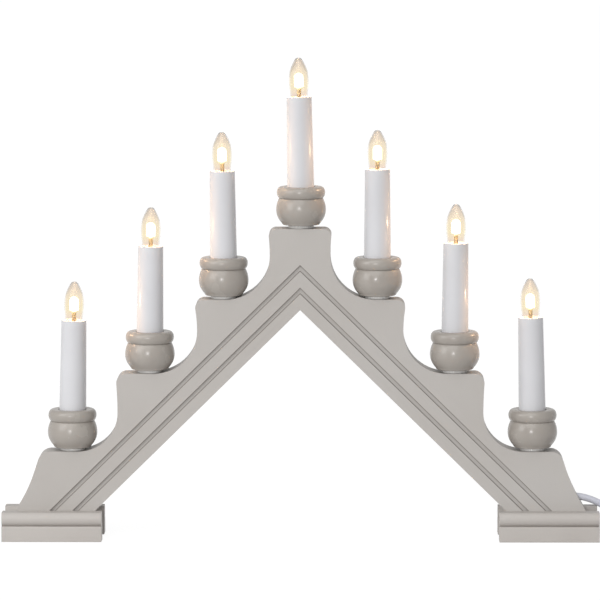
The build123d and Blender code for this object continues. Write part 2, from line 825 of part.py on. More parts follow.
def plug_body():
    """Flat plug body that widens from the cord to the pins."""
    tail = plug_tail_width / 2
    wide = plug_width / 2
    front = plug_length - plug_front_length
    points = [(0, -tail), (plug_tail_length, -tail), (front, -wide), (plug_length, -wide)]
    points += [(plug_length, wide), (front, wide), (plug_tail_length, tail), (0, tail)]
    face = make_face(Polyline(points, close=True))
    solid = extrude(face, plug_thickness / 2, both=True)
    solid = fillet(solid.edges().filter_by(Axis.Z), plug_corner_round)
    solid = fillet(solid.faces().sort_by(Axis.Z)[-1].edges(), plug_edge_round)
    solid = fillet(solid.faces().sort_by(Axis.Z)[0].edges(), plug_edge_round)
    sockets = []
    for side in (-1, 1):
        socket = Cylinder(pin_root_radius + pin_fit, 2 * (pin_root + pin_fit))
        sockets.append(Pos(plug_length, side * pin_spacing / 2, 0) * Rot(0, 90, 0) * socket)
    return plug_frame() * (solid - sockets)


def plug_pins():
    """The two round pins with rounded tips, each on a thinner root inside the plug."""
    pin = fillet(rod(pin_radius, 0, pin_length).edges().sort_by(Axis.Z)[-1], pin_round)
    pin = Rot(0, 90, 0) * (pin + rod(pin_root_radius, -pin_root, 0))
    return [plug_frame() * Pos(plug_length, side * pin_spacing / 2, 0) * pin for side in (-1, 1)]


def save(name, shape):
    """Write one node, from a solid or a list of solids."""
    if isinstance(shape, list):
        shape = Compound(children=shape)
    export_step(shape, f"parts/{name}.step")


def main():
    """Build every node and write it."""
    os.makedirs("parts", exist_ok=True)
    save("arch_board", arch_board())
    for side, side_name in ((-1, "left"), (1, "right")):
        save(f"foot_rail_{side_name}_front", foot_rail(side, True))
        save(f"foot_rail_{side_name}_back", foot_rail(side, False))
    save("rail_screws", rail_screws())
    for i in range(7):
        save(f"candle_cup_{i + 1}", Pos(cup_places[i], 0, cup_levels[i] + washer_height) * candle_cup())
        save(f"candle_sleeve_{i + 1}", sleeve_frame(i) * candle_sleeve())
        save(f"lampholder_{i + 1}", lamp_frame(i) * lampholder())
        save(f"bulb_glass_{i + 1}", lamp_frame(i) * bulb_glass())
        save(f"bulb_cap_{i + 1}", lamp_frame(i) * bulb_cap())
        save(f"bulb_led_{i + 1}", lamp_frame(i) * bulb_led())
    save("holder_contacts", [lamp_frame(i) * piece for i in range(7) for piece in contacts()])
    save("stem_tubes", stem_tubes())
    save("stem_nuts", stem_nuts())
    save("cup_washers", cup_washers())
    save("series_wires", series_wires())
    save("wire_staples", wire_staples())
    save("cord_grip", cord_grip())
    save("cord_grip_nail", cord_grip_nail())
    save("power_cord", power_cord())
    save("power_cord_coil", power_cord_coil())
    save("plug_body", plug_body())
    save("plug_pins", plug_pins())


main()
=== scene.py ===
# %% [markdown]
# A candle arch, from its frame to its paint
#
# The arch is a stepped board of painted wood that carries seven electric
# candles. The exact solids of the part are loaded as a frame that stays where
# it is, and this notebook dresses them. Nothing here moves a piece.

# %% Load the frame
import math

import bmesh
import bpy
import numpy as np
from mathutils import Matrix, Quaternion, Vector


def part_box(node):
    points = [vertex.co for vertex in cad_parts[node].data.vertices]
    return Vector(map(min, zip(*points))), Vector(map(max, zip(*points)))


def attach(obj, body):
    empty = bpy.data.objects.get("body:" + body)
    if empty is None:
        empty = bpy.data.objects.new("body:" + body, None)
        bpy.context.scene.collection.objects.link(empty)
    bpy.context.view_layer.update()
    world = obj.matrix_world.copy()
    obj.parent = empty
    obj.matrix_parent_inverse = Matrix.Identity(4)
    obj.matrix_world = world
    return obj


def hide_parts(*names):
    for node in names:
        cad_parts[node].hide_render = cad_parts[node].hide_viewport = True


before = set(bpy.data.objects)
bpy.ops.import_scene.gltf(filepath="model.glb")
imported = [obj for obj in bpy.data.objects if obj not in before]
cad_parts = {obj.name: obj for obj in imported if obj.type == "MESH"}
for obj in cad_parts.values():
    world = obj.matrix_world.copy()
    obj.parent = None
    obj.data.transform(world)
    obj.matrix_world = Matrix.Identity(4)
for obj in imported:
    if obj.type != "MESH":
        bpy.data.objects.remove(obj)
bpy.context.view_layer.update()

# %% [markdown]
# The camera
#
# The photograph was taken from far away with a long lens, so that the seven
# candles look almost parallel. The camera stands 2.7 m in front of the arch, a
# little to its right, half a metre above the ground, and looks slightly down.
# A camera with a long focal length gives the same weak perspective.

# %% Camera
camera_place = Vector((0.0404, -2.728, 0.4818))
camera_aim = Vector((-0.00024, 0.0, 0.17275))
camera_roll = Quaternion((0.0, 0.0, 1.0), -0.0016)
camera_data = bpy.data.cameras.new("studio_camera")
camera_data.sensor_width = 36.0
camera_data.lens = 229.06
camera_data.clip_start = 0.05
camera_data.clip_end = 60.0
camera = bpy.data.objects.new("studio_camera", camera_data)
camera.location = camera_place
camera.rotation_mode = "QUATERNION"
camera.rotation_quaternion = (camera_aim - camera_place).to_track_quat("-Z", "Y") @ camera_roll
bpy.context.scene.collection.objects.link(camera)
bpy.context.scene.camera = camera
camera_drop = (camera_place - camera_aim).normalized().z
print("camera looks down by", round(math.degrees(math.asin(camera_drop)), 1), "degrees")

# %% [markdown]
# The power cord
#
# The cord leaves the back of the right leg, bends down beside the foot and
# ends in a plug. Only its first few centimetres are in the picture, so the
# rest is wound into a neat coil behind and beside the foot. A cord could be
# simulated, but one smooth NURBS line with a round bevel is lighter and lies
# exactly where it is wanted. A quadratic spline cuts inside its control
# points, so the points of the coil stand a little further out than its turns.

# %% Route of the cord, in millimetres
cord_diameter = 5.0
cord_floor = 2.55
free_route = [
    (183.0, 12.6, 28.8),
    (197.0, 12.6, 28.8),
    (208.0, 12.7, 26.9),
    (217.2, 13.2, 22.9),
    (225.2, 14.3, 17.2),
    (232.4, 15.8, 11.0),
    (240.4, 17.7, 5.6),
    (249.4, 19.5, 2.9),
    (257.0, 20.6, cord_floor),
]
coil_middle = np.array((267.5, -10.15))
coil_inner_radius = 22.5
turn_pitch = 6.6
layer_pitch = 5.7
layers = 4
halves_per_layer = 3
tail_radius = 25.0
plug_height = 29.3
points_per_half = 8
spline_reach = 0.75 + 0.25 * math.cos(math.pi / points_per_half)


def coil_stations():
    """Angle in half turns, radius and height at each joint of the winding: clockwise from the
    back, in by a quarter turn, then layer by layer, in and out, with half a turn to climb."""
    radius = coil_inner_radius + turn_pitch * 5 / 4
    stations = [(0.5, radius, cord_floor), (0.0, radius - turn_pitch / 4, cord_floor)]
    for layer in range(layers):
        inward = -1 if layer % 2 == 0 else 1
        halves = halves_per_layer - 1 if layer == 0 else halves_per_layer
        for _ in range(halves):
            angle, radius, height = stations[-1]
            stations.append((angle - 1, radius + inward * turn_pitch / 2, height))
        angle, radius, height = stations[-1]
        stations.append((angle - 1, radius, height + layer_pitch))
    return stations


def coil_route():
    """Points between the joints. Radius and height go from one joint to the next by half a
    cosine wave, so that each half turn is a half circle about a shifted middle."""
    route = []
    stations = coil_stations()
    for (a0, r0, z0), (a1, r1, z1) in zip(stations[:-1], stations[1:]):
        count = round(points_per_half * abs(a1 - a0))
        share = np.arange(count) / count
        ease = (1 - np.cos(np.pi * share)) / 2
        angle = np.pi * (a0 + (a1 - a0) * share)
        radius = (r0 + (r1 - r0) * ease) / spline_reach
        height = z0 + (z1 - z0) * ease
        route.append(np.stack([radius * np.cos(angle), radius * np.sin(angle), height], axis=1))
    return np.concatenate(route), stations[-1]


def tail_route(last):
    """A quarter turn that rises from the top of the coil to the height of the plug, then a
    short straight run into the plug's tail."""
    share = np.arange(5) / 4
    ease = (1 - np.cos(np.pi * share)) / 2
    angle = np.pi * (1 - share / 2)
    reach = tail_radius / spline_reach
    x = -last[1] + tail_radius + reach * np.cos(angle)
    turn = np.stack([x, reach * np.sin(angle), last[2] + (plug_height - last[2]) * ease], axis=1)
    straight = [(turn[-1, 0] + step, tail_radius, plug_height) for step in (4.0, 8.0)]
    return np.concatenate([turn[:-1], [(turn[-1, 0], tail_radius, plug_height)], straight])


wound, last_station = coil_route()
wound = np.concatenate([wound, tail_route(last_station)])
wound[:, :2] += coil_middle
cord_route = np.concatenate([free_route, wound]) / 1000
print("cord control points", len(cord_route), "last", np.round(cord_route[-1] * 1000, 2))

# %% Cord as a curve


def spline_object(name, points, radius):
    """One open NURBS spline of order 3 along the control points, with a round bevel. The points
    carry the radius and the bevel is one metre, because Blender counts a point's radius into the
    box of the curve."""
    curve = bpy.data.curves.new(name, "CURVE")
    curve.dimensions = "3D"
    spline = curve.splines.new("NURBS")
    spline.points.add(len(points) - 1)
    weights = np.ones((len(points), 1))
    spline.points.foreach_set("co", np.concatenate([points, weights], axis=1).ravel())
    spline.points.foreach_set("radius", np.full(len(points), radius))
    spline.order_u = 3
    spline.use_endpoint_u = True
    spline.resolution_u = 5
    curve.bevel_depth = 1.0 if radius else 0.0
    curve.bevel_resolution = 5
    curve.use_fill_caps = True
    thing = bpy.data.objects.new(name, curve)
    bpy.context.scene.collection.objects.link(thing)
    return thing


cord = spline_object("mains_cord", cord_route, cord_diameter / 2000)
cord_line_curve = spline_object("cord_line", cord_route, 0)
cord_line_mesh = bpy.data.meshes.new_from_object(cord_line_curve)
cord_line = np.empty(3 * len(cord_line_mesh.vertices))
cord_line_mesh.vertices.foreach_get("co", cord_line)
cord_line = cord_line.reshape(-1, 3)
bpy.data.meshes.remove(cord_line_mesh)
bpy.data.curves.remove(cord_line_curve.data)
cord_length = np.linalg.norm(np.diff(cord_line, axis=0), axis=1).sum()
print("cord length", round(float(cord_length), 4), "m")

# %% [markdown]
# Skins worked out with numpy
#
# Almost every candle part was turned on a lathe or moulded round. Blender has
# a Spin tool for this, but a grid of points worked out in one numpy expression
# is exact, quick and easy to change. One helper joins such a grid to a mesh.

# %% Helper: a mesh from a grid of points


def face_corners(rows, columns, wrap_rows):
    """Corner numbers of every cell of the grid, four to a cell. The columns always close."""
    i = np.arange(rows if wrap_rows else rows - 1)[:, None]
    j = np.arange(columns)[None, :]
    below, above = i * columns, ((i + 1) % rows) * columns
    right = (j + 1) % columns
    return np.stack([below + j, below + right, above + right, above + j], axis=-1).reshape(-1, 4)


def cap_fan(row, columns, pole):
    """Triangles from one ring to a single point."""
    j = np.arange(columns)
    return np.stack([row * columns + j, row * columns + (j + 1) % columns, np.full(columns, pole)], axis=1)


def signed_volume(vertices, faces):
    """Six times the volume inside the faces, negative when they point inwards."""
    total = 0.0
    for k in range(1, faces.shape[1] - 1):
        a, b, c = vertices[faces[:, 0]], vertices[faces[:, k]], vertices[faces[:, k + 1]]
        total += float(np.einsum("ij,ij->", a, np.cross(b, c)))
    return total


def skin(name, grid, wrap_rows=False, first_pole=None, last_pole=None, sharp=35.0):
    """Mesh object over grid[row, column, xyz], in metres. Rows follow each other along the
    piece and columns run round it. The ends close on a pole point where one is given. The UV
    map runs once round the piece and once along it."""
    rows, columns, _ = grid.shape
    vertices = grid.reshape(-1, 3)
    quads = face_corners(rows, columns, wrap_rows)
    fans = []
    for pole, row in ((first_pole, 0), (last_pole, rows - 1)):
        if pole is not None:
            fan = cap_fan(row, columns, len(vertices))
            vertices = np.concatenate([vertices, [pole]])
            fans.append(fan if row else fan[:, [1, 0, 2]])
    volume = signed_volume(vertices, quads) + sum(signed_volume(vertices, fan) for fan in fans)
    across = np.tile(np.arange(columns), len(quads) // columns)
    along = np.repeat(np.arange(len(quads) // columns), columns)
    u = np.stack([across, across + 1, across + 1, across], axis=1) / columns
    v = np.stack([along, along, along + 1, along + 1], axis=1) / max(rows - 1, 1)
    corners, uv, sizes = [quads], [np.stack([u, v], axis=-1)], [np.full(len(quads), 4)]
    for fan in fans:
        j = np.arange(columns)
        level = 0.0 if fan is fans[0] else 1.0
        fan_u = np.stack([j, j + 1, j + 0.5], axis=1) / columns
        corners.append(fan)
        uv.append(np.stack([fan_u, np.full(fan_u.shape, level)], axis=-1))
        sizes.append(np.full(columns, 3))
    if volume < 0:
        corners = [part[:, ::-1] for part in corners]
        uv = [part[:, ::-1] for part in uv]
    loops = np.concatenate([part.ravel() for part in corners])
    sizes = np.concatenate(sizes)
    mesh = bpy.data.meshes.new(name)
    mesh.vertices.add(len(vertices))
    mesh.vertices.foreach_set("co", vertices.ravel())
    mesh.loops.add(len(loops))
    mesh.loops.foreach_set("vertex_index", loops.astype(np.int32))
    mesh.polygons.add(len(sizes))
    mesh.polygons.foreach_set("loop_start", (np.cumsum(sizes) - sizes).astype(np.int32))
    mesh.update(calc_edges=True)
    layer = mesh.uv_layers.new(name="turning")
    layer.uv.foreach_set("vector", np.concatenate([part.reshape(-1, 2) for part in uv]).ravel())
    mesh.validate()
    mesh.shade_smooth()
    mesh.set_sharp_from_angle(angle=math.radians(sharp))
    thing = bpy.data.objects.new(name, mesh)
    bpy.context.scene.collection.objects.link(thing)
    return thing


def turned_grid(profile, sides, foot, lean):
    """Points of a turned piece. Row i, column j is at radius r_i, angle 2 pi j / sides and
    height z_i, tipped by the lean towards +X about the foot."""
    angle = 2 * np.pi * np.arange(sides) / sides
    r, z = profile[:, 0, None], profile[:, 1, None]
    x, y, z = r * np.cos(angle), r * np.sin(angle), z + 0 * angle
    tip = math.radians(lean)
    across = x * math.cos(tip) + z * math.sin(tip)
    up = z * math.cos(tip) - x * math.sin(tip)
    points = np.stack([across, y, up], axis=-1)
    return (points + np.asarray(foot)) / 1000


def bow(centre, radii, start, end, count):
    """Points of an ellipse's arc from one angle to the other, in degrees, about its centre."""
    angle = np.radians(np.linspace(start, end, count))
    return np.stack([centre[0] + radii[0] * np.cos(angle), centre[1] + radii[1] * np.sin(angle)], axis=1)


def steps(*points, every=2.0):
    """Points on straight runs between the given corners, a step of about one length apart."""
    out = []
    for start, end in zip(points[:-1], points[1:]):
        start, end = np.asarray(start, float), np.asarray(end, float)
        count = max(1, math.ceil(np.linalg.norm(end - start) / every))
        out.append(start + (end - start) * np.arange(count)[:, None] / count)
    return np.concatenate(out + [np.asarray(points[-1], float)[None]])


# %% [markdown]
# Where the candles stand
#
# The real arch was put together by hand: no cup stands exactly in the middle
# of its step, the sleeves don't sit equally deep and each leans a little. The
# places of the cups come from the frame. The seats and leans are repeated here.

# %% Candle places
candle_numbers = range(1, 8)
cup_height = 27.4
cup_bore_depth = 12.0
sleeve_lift_shares = [0.267, 0.017, 0.058, 0.25, 0.167, 0.2, 0.45]
sleeve_leans = [1.2, 0.8, -0.6, -0.95, 0.0, 0.45, -1.25]
cup_feet = []
for number in candle_numbers:
    low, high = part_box(f"candle_cup_{number}")
    cup_feet.append(((low[0] + high[0]) * 500, 0.0, low[2] * 1000))
cup_floors = [(x, y, z + cup_height - cup_bore_depth) for x, y, z in cup_feet]
print("cups at x", [round(foot[0], 1) for foot in cup_feet])


def along_sleeve(profile, number):
    """A profile measured from the sleeve's foot, moved up by that sleeve's lift."""
    lift = sleeve_lift_shares[number - 1] * cup_bore_depth
    return profile + np.array([0.0, lift])


# %% [markdown]
# The cups
#
# Each cup is a turned wooden ball with a narrow neck and a rolled collar. The
# profile is an ellipse for the ball, another for the collar, and a straight
# bore for the sleeve. Where the two curves meet at the neck, they leave the
# crease that the paint pools in.

# %% Cups
ball_radius, ball_height = 17.87, 10.7
collar_middle, collar_height, collar_swell = 14.35, 23.2, 3.0
neck_height = 19.15
cup_bore = 10.1
stem_hole = 5.1
base_round = 1.1


def ball_line(z):
    """Radius of the ball at a height: an ellipse about the axis, shorter below its equator."""
    half = np.where(z < ball_height, 14.9, 17.5)
    return ball_radius * np.sqrt(1 - ((z - ball_height) / half) ** 2)


def collar_line(z):
    """Radius of the collar at a height: an ellipse that swells out from a smaller ring."""
    half = np.where(z < collar_height, 4.55, 4.2)
    return collar_middle + collar_swell * np.sqrt(np.clip(1 - ((z - collar_height) / half) ** 2, 0, 1))


def cup_profile():
    """Closed outline: flat base, rounded foot, ball, crease, collar, flat lip, bore."""
    foot_radius = float(ball_line(np.array(base_round)))
    base = bow((foot_radius - base_round, base_round), (base_round, base_round), -90, -8, 7)
    ball_z = np.linspace(base_round + 0.5, neck_height - 0.15, 34)
    collar_share = np.linspace(0, 1, 30)
    collar_foot, collar_top = neck_height + 0.1, cup_height - 0.02
    collar_z = collar_foot + (collar_top - collar_foot) * np.sin(collar_share * np.pi / 2)
    ball = np.stack([ball_line(ball_z), ball_z], axis=1)
    crease = [(float(ball_line(np.array(neck_height))) - 0.25, neck_height)]
    collar = np.stack([collar_line(collar_z), collar_z], axis=1)
    lip = bow((cup_bore + 0.6, cup_height - 0.6), (0.6, 0.6), 90, 180, 6)
    floor = cup_height - cup_bore_depth
    corners = [(cup_bore, cup_height - 2), (cup_bore, floor), (stem_hole, floor), (stem_hole, 0)]
    bore = steps(*corners, every=4.0)
    return np.concatenate([base, ball, crease, collar, lip, bore])


cups = []
for number in candle_numbers:
    grid = turned_grid(cup_profile(), 96, cup_feet[number - 1], 0)
    cup = skin(f"turned_cup_{number}", grid, wrap_rows=True, sharp=40)
    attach(cup, "arch")
    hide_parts(f"candle_cup_{number}")
    cups.append(cup)
print("cups", len(cups), "each of", len(cups[0].data.polygons), "faces")

# %% [markdown]
# The candle sleeves
#
# A sleeve is a thin moulded tube, a little narrower at its rim than at its
# foot, because it has to come out of its mould. The rim is rounded, and inside
# it a deeper bore holds the lampholder.

# %% Sleeves
sleeve_length = 73.4
foot_radius, rim_radius = 9.82, 9.0
rim_round, foot_round = 0.8, 0.3
mouth_radius, mouth_depth = 7.9, 22.4
inner_radius = 7.0
foot_bore, foot_depth = 8.5, 10.0


def sleeve_profile():
    """Closed outline: foot, tapered outside, round rim, mouth bore, seat, inside, foot bore."""
    top = sleeve_length
    corners = [(foot_bore, 0), (foot_radius - foot_round, 0), (foot_radius, foot_round)]
    outside = steps(*corners, (rim_radius, top - rim_round), every=6.0)
    rim = bow((rim_radius - rim_round, top - rim_round), (rim_round, rim_round), 0, 90, 8)[1:]
    lip = bow((mouth_radius + 0.25, top - 0.25), (0.25, 0.25), 90, 180, 4)
    corners = [(mouth_radius, top - 3), (mouth_radius, top - mouth_depth), (inner_radius, top - mouth_depth)]
    corners += [(inner_radius, foot_depth), (foot_bore, foot_depth), (foot_bore, 1.0)]
    return np.concatenate([outside, rim, lip, steps(*corners, every=8.0)])


sleeves = []
for number in candle_numbers:
    profile = along_sleeve(sleeve_profile(), number)
    grid = turned_grid(profile, 96, cup_floors[number - 1], sleeve_leans[number - 1])
    sleeve = skin(f"sleeve_tube_{number}", grid, wrap_rows=True, sharp=40)
    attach(sleeve, "arch")
    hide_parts(f"candle_sleeve_{number}")
    sleeves.append(sleeve)
print("sleeves", len(sleeves), "each of", len(sleeves[0].data.polygons), "faces")

# %% [markdown]
# The bulbs
#
# Each bulb is a clear flame-shaped envelope over a small lit body on a stem.
# The envelope was blown, so its outline is one flowing curve: a few knots with
# a smooth curve through them give it. The glass gets its real wall, because
# light bends on both faces of it.

# %% Bulbs
flame_knots = np.array([
    (0.0, 27.9), (1.9, 27.25), (3.75, 24.4), (5.25, 21.4), (6.45, 17.9), (7.0, 12.6),
    (6.85, 8.0), (6.4, 3.6), (6.15, 0.0), (5.6, -2.0), (4.7, -3.6),
])
glass_wall = 0.8
lit_radius, lit_low, lit_high = 3.25, 6.9, 16.9
stem_radius = 1.5
bulb_foot = -3.6


def smooth_through(knots, per_run):
    """A curve through all knots: each run is a cubic whose slopes come from its neighbours."""
    padded = np.concatenate([2 * knots[:1] - knots[1:2], knots, 2 * knots[-1:] - knots[-2:-1]])
    t = (np.arange(per_run) / per_run)[None, :, None]
    a, b, c, d = (padded[k:len(padded) - 3 + k, None, :] for k in range(4))
    bend, twist = 2 * a - 5 * b + 4 * c - d, 3 * b - a - 3 * c + d
    run = 0.5 * (2 * b + (c - a) * t + bend * t ** 2 + twist * t ** 3)
    return np.concatenate([run.reshape(-1, 2), knots[-1:]])


def inset(line, distance):
    """The line moved sideways by a distance, at right angles to itself."""
    along = np.gradient(line, axis=0)
    along /= np.linalg.norm(along, axis=1, keepdims=True)
    return line + distance * np.stack([along[:, 1], -along[:, 0]], axis=1)


def glass_profile():
    """From the inner tip down the inside, across the neck, and up the outside to the tip."""
    outer = smooth_through(flame_knots, 5)[1:]
    inner = inset(smooth_through(flame_knots, 5), glass_wall)[1:]
    inner[:, 0] = np.maximum(inner[:, 0], 0.15)
    inner = inner[inner[:, 1] < flame_knots[0, 1] - glass_wall - 0.05]
    inner[-1] = (flame_knots[-1, 0] - glass_wall, bulb_foot)
    return np.concatenate([inner, outer[::-1]])


def lit_profile():
    """Stem, flat underside with a small round, straight body and a domed top."""
    dome = lit_high - lit_radius
    stem = steps((stem_radius, bulb_foot), (stem_radius, lit_low - 0.2), every=2.0)
    edge = bow((lit_radius - 0.5, lit_low + 0.5), (0.5, 0.5), -90, 0, 5)
    top = bow((0, dome), (lit_radius, lit_radius), 0, 88, 14)
    return np.concatenate([stem, edge, top])


def on_rim(height, number):
    """The point on a sleeve's axis at a height above its rim."""
    lean = math.radians(sleeve_leans[number - 1])
    up = sleeve_lift_shares[number - 1] * cup_bore_depth + sleeve_length + height
    x, y, z = cup_floors[number - 1]
    return np.array((x + up * math.sin(lean), y, z + up * math.cos(lean))) / 1000


glasses, lit_bodies = [], []
for number in candle_numbers:
    rim = np.array([0.0, sleeve_length])
    lean = sleeve_leans[number - 1]
    grid = turned_grid(along_sleeve(glass_profile() + rim, number), 72, cup_floors[number - 1], lean)
    glass = skin(
        f"flame_glass_{number}", grid, sharp=60,
        first_pole=on_rim(flame_knots[0, 1] - glass_wall, number),
        last_pole=on_rim(flame_knots[0, 1], number),
    )
    glass.visible_shadow = False
    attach(glass, f"bulb_{number}")
    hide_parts(f"bulb_glass_{number}")
    glasses.append(glass)
    grid = turned_grid(along_sleeve(lit_profile() + rim, number), 48, cup_floors[number - 1], lean)
    lit = skin(
        f"lit_core_{number}", grid, sharp=40,
        first_pole=on_rim(bulb_foot, number), last_pole=on_rim(lit_high, number),
    )
    lit.visible_shadow = False
    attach(lit, f"bulb_{number}")
    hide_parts(f"bulb_led_{number}")
    lit_bodies.append(lit)
print("bulbs", len(glasses), "glass faces", len(glasses[0].data.polygons))

# %% [markdown]
# The washers
#
# Under each cup lies a thick washer of milky plastic, which keeps the wood of
# the cup off the wood of the step and shows as a bright line. All seven are
# one node in the frame, so they become one piece: seven rings in one mesh.

# %% Washers
washer_radius, washer_height = 9.2, 2.4


def washer_profile():
    """Closed outline of a flat ring with rounded outer edges."""
    soft = 0.7
    low = bow((washer_radius - soft, soft), (soft, soft), -90, 0, 6)
    high = bow((washer_radius - soft, washer_height - soft), (soft, soft), 0, 90, 6)
    return np.concatenate([[(stem_hole, 0.0)], low, high, [(stem_hole, washer_height)]])


def joined(name, things):
    """One object from several, their meshes put together with numpy-made parts kept whole."""
    whole = bmesh.new()
    for thing in things:
        whole.from_mesh(thing.data)
    mesh = bpy.data.meshes.new(name)
    whole.to_mesh(mesh)
    whole.free()
    for thing in things:
        bpy.data.objects.remove(thing)
    mesh.shade_smooth()
    mesh.set_sharp_from_angle(angle=math.radians(40))
    made = bpy.data.objects.new(name, mesh)
    bpy.context.scene.collection.objects.link(made)
    return made


rings = []
for number in candle_numbers:
    x, y, z = cup_feet[number - 1]
    grid = turned_grid(washer_profile(), 64, (x, y, z - washer_height), 0)
    rings.append(skin(f"ring_{number}", grid, wrap_rows=True))
washers = joined("washer_rings", rings)
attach(washers, "arch")
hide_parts("cup_washers")
print("washer faces", len(washers.data.polygons))

# %% [markdown]
# The board and the foot rails
#
# The board was sawn out, its chevrons were milled, and its edges were broken
# with sandpaper before it was painted. The exact solid has sharp edges, so a
# copy of its mesh is merged, its flat faces are joined, and a Bevel modifier
# rounds the outline by a good millimetre and the grooves by a quarter of one.
# The moulded rails get the same.

# %% Board and rails
inner_apex, inner_foot_x, board_bottom = 0.1665, 0.16633, 0.003
chevron_slope = math.atan2(inner_apex - board_bottom, inner_foot_x)
groove_width_share, groove_reach = 0.22, (0.0075, 0.0240)
board_bevel, rail_bevel = 0.0013, 0.0011
sharp_edge = math.radians(30)


def edge_share(start, end):
    """The share of the bevel's width that an edge gets. The grooves are cut after the outline is
    sanded, so the long slanted edges inside their band get a narrow share, and others all."""
    spots = []
    for spot in (start, end):
        run = abs(spot.x) * math.sin(chevron_slope) + (spot.z - inner_apex) * math.cos(chevron_slope)
        spots.append(groove_reach[0] < run < groove_reach[1] and spot.y < 0)
    return groove_width_share if all(spots) else 1.0


def eased_copy(node, name, width, share=None):
    """Copy of a node's mesh without its doubled corners, with flat faces joined and a narrow
    bevel along every edge of 30 degrees or more, of a width that the share can narrow."""
    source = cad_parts[node].data
    places = np.empty(3 * len(source.vertices))
    source.vertices.foreach_get("co", places)
    corners = np.empty(len(source.loops), dtype=np.int32)
    source.loops.foreach_get("vertex_index", corners)
    mesh = bpy.data.meshes.new(name)
    mesh.from_pydata(places.reshape(-1, 3), [], corners.reshape(-1, 3))
    work = bmesh.new()
    work.from_mesh(mesh)
    bmesh.ops.remove_doubles(work, verts=work.verts, dist=2e-6)
    bmesh.ops.dissolve_limit(work, angle_limit=math.radians(0.4), verts=work.verts, edges=work.edges)
    weight = work.edges.layers.float.new("bevel_weight_edge")
    for edge in work.edges:
        if len(edge.link_faces) == 2 and edge.calc_face_angle() > sharp_edge:
            edge[weight] = share(edge.verts[0].co, edge.verts[1].co) if share else 1.0
    work.to_mesh(mesh)
    work.free()
    mesh.shade_smooth()
    made = bpy.data.objects.new(name, mesh)
    bpy.context.scene.collection.objects.link(made)
    bevel = made.modifiers.new("sanded_edge", "BEVEL")
    bevel.limit_method = "WEIGHT"
    bevel.width = width
    bevel.segments = 3
    bevel.harden_normals = True
    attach(made, "arch")
    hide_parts(node)
    return made


board = eased_copy("arch_board", "painted_board", board_bevel, edge_share)
rails = []
for side in ("left", "right"):
    for face in ("front", "back"):
        end = f"{side}_{face}"
        rails.append(eased_copy(f"foot_rail_{end}", f"moulded_rail_{end}", rail_bevel))
print("board faces before the bevel", len(board.data.polygons), "rails", len(rails))

# %% [markdown]
# The plug
#
# The flat plug widens from the cord to its two pins. Its body is a stack of
# rounded rectangles along its length: the width follows a smooth step and the
# thickness stays nearly even. Shallow finger ridges cross its flat sides, and
# a ribbed, tapered strain relief follows the cord out of its tail.

# %% Plug body and strain relief
plug_low, plug_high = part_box("plug_body")
plug_start = plug_low[0] * 1000
plug_length = (plug_high[0] - plug_low[0]) * 1000
plug_middle = ((plug_low[1] + plug_high[1]) * 500, (plug_low[2] + plug_high[2]) * 500)
plug_half_width = (plug_high[1] - plug_low[1]) * 500
plug_half_height = (plug_high[2] - plug_low[2]) * 500
tail_half_width = 5.5
flare_start, flare_end = 7.0, 25.0
ridge_depth, ridge_spacing, ridge_start, ridge_end = 0.45, 1.5, 9.0, 21.0
tail_thinning, thin_start, thin_end = 0.9, 2.0, 14.0
relief_length, relief_radii, ring_depth = 0.028, (0.0048, 0.0030), 0.0004


def smooth_step(value, start, end):
    """From 0 at the start to 1 at the end, level at both."""
    share = np.clip((value - start) / (end - start), 0, 1)
    return share * share * (3 - 2 * share)


def plug_grid():
    """Rounded rectangles: row i stands at x_i with half width w_i and half height h_i, and its
    corners follow a superellipse. Both ends draw in by a quarter circle."""
    end = 2.2
    quarter = np.linspace(0, np.pi / 2, 8)
    x = np.concatenate([end * (1 - np.cos(quarter)), np.linspace(end, plug_length - end, 60)[1:-1],
                        plug_length - end * (1 - np.cos(quarter[::-1]))])
    draw = np.concatenate([end * (1 - np.sin(quarter)), np.zeros(58), end * (1 - np.sin(quarter[::-1]))])
    spread = plug_half_width - tail_half_width
    width = tail_half_width + spread * smooth_step(x, flare_start, flare_end) - draw
    ridged = (x > ridge_start) & (x < ridge_end)
    ridge = ridge_depth * np.sin(np.pi * (x - ridge_start) / ridge_spacing) ** 2 * ridged
    thinning = tail_thinning * (1 - smooth_step(x, thin_start, thin_end))
    height = (plug_half_height - ridge - thinning) - draw
    angle = 2 * np.pi * np.arange(72) / 72
    power = 2 / 5.0
    c, s = np.cos(angle), np.sin(angle)
    across, up = np.sign(c) * np.abs(c) ** power, np.sign(s) * np.abs(s) ** power
    grid = np.stack([plug_start + x[:, None] + 0 * across, plug_middle[0] + width[:, None] * across,
                     plug_middle[1] + height[:, None] * up], axis=-1)
    return grid / 1000


plug_ends = [(plug_start + at, *plug_middle) for at in (0.0, plug_length)]
plug = skin("flat_plug", plug_grid(), sharp=50, first_pole=np.array(plug_ends[0]) / 1000,
            last_pole=np.array(plug_ends[1]) / 1000)


def relief_grid(line, length, radii):
    """A tube that follows the end of the cord's line backwards. Its radius falls from the
    plug's end to the cord's, with five shallow rings. Each ring of points stands across the
    line, with its first point turned towards straight up."""
    back = line[::-1]
    run = np.concatenate([[0], np.cumsum(np.linalg.norm(np.diff(back, axis=0), axis=1))])
    at = np.linspace(0, length, 61)
    middle = np.stack([np.interp(at, run, back[:, k]) for k in range(3)], axis=1)
    along = np.gradient(middle, axis=0)
    along /= np.linalg.norm(along, axis=1, keepdims=True)
    side = np.cross(along, (0.0, 0.0, 1.0))
    side /= np.linalg.norm(side, axis=1, keepdims=True)
    over = np.cross(side, along)
    share = at / length
    radius = radii[0] + (radii[1] - radii[0]) * share - ring_depth * np.sin(5 * np.pi * share) ** 8
    angle = 2 * np.pi * np.arange(40) / 40
    ring = side[:, None] * np.cos(angle)[:, None] + over[:, None] * np.sin(angle)[:, None]
    return middle[:, None] + radius[:, None, None] * ring


